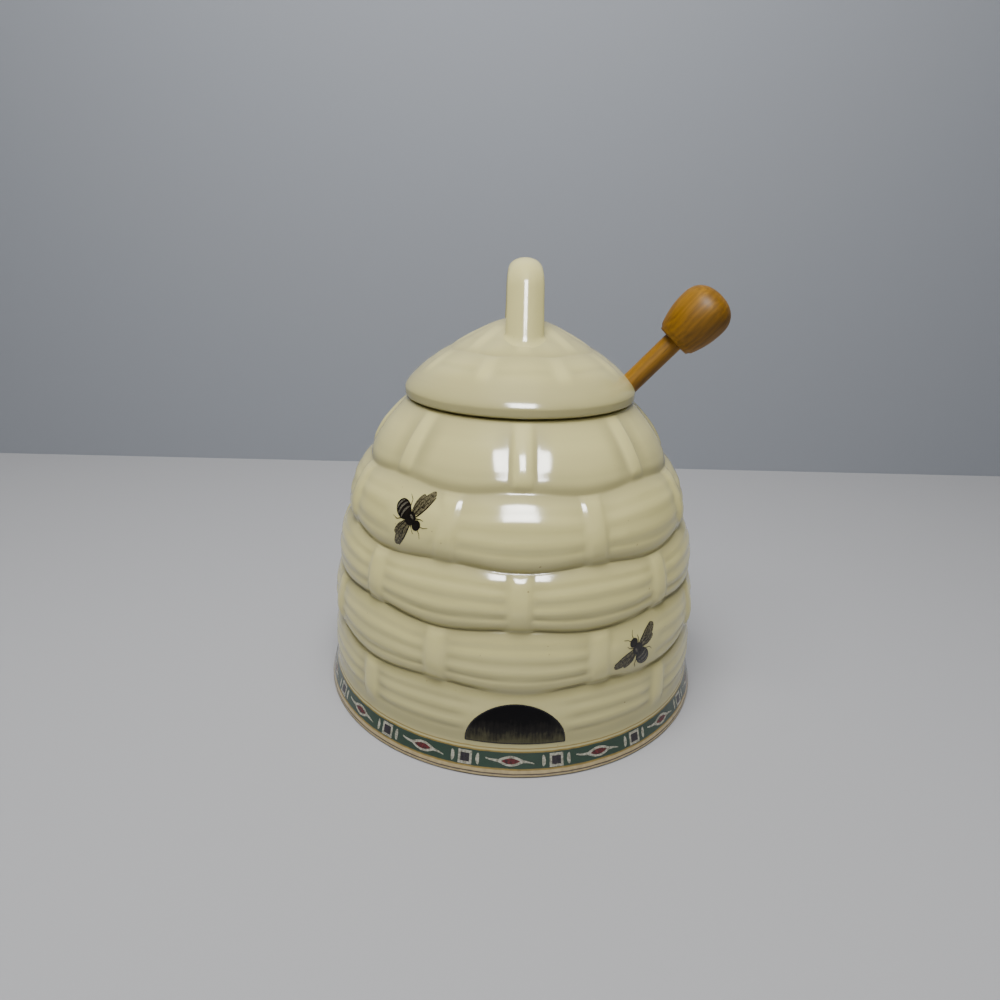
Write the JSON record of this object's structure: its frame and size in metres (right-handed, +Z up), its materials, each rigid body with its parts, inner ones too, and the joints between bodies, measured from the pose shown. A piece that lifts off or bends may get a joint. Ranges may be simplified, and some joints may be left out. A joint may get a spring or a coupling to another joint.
{
  "type": "honey pot",
  "caption": "Skep-shaped glazed stoneware honey pot with a notched lift-off lid, strap loop and a wooden dipper that leans out at the rim.",
  "frame": {"origin": "centre of the foot, on the pot's axis, in the plane it stands on", "axes": "+Z up along the pot's axis; the side with the printed doorway faces -Y; the dipper leans out towards +X, turned 5.5 degrees to the front; the lid's loop runs along Y"},
  "size_m": [0.1208, 0.1208, 0.1307],
  "materials": {
    "glazed_stoneware": "warm cream gloss glaze",
    "dipper_wood": "oiled honey-coloured hardwood"
  },
  "bodies": {
    "pot": {"pot_body": "glazed_stoneware"},
    "lid_group": {"lid": "glazed_stoneware", "lid_loop": "glazed_stoneware"},
    "dipper": {"dipper_rod": "dipper_wood", "dipper_knob": "dipper_wood", "dipper_head": "dipper_wood"}
  },
  "joints": [
    {"name": "lid_lift", "type": "slide", "parent": "pot", "child": "lid_group", "axis": [0, 0, 1], "range_m": [0, 0.045]},
    {"name": "dipper_draw", "type": "slide", "parent": "pot", "child": "dipper", "axis": [0.6635, -0.0639, 0.7455], "range_m": [0, 0.05]}
  ]
}
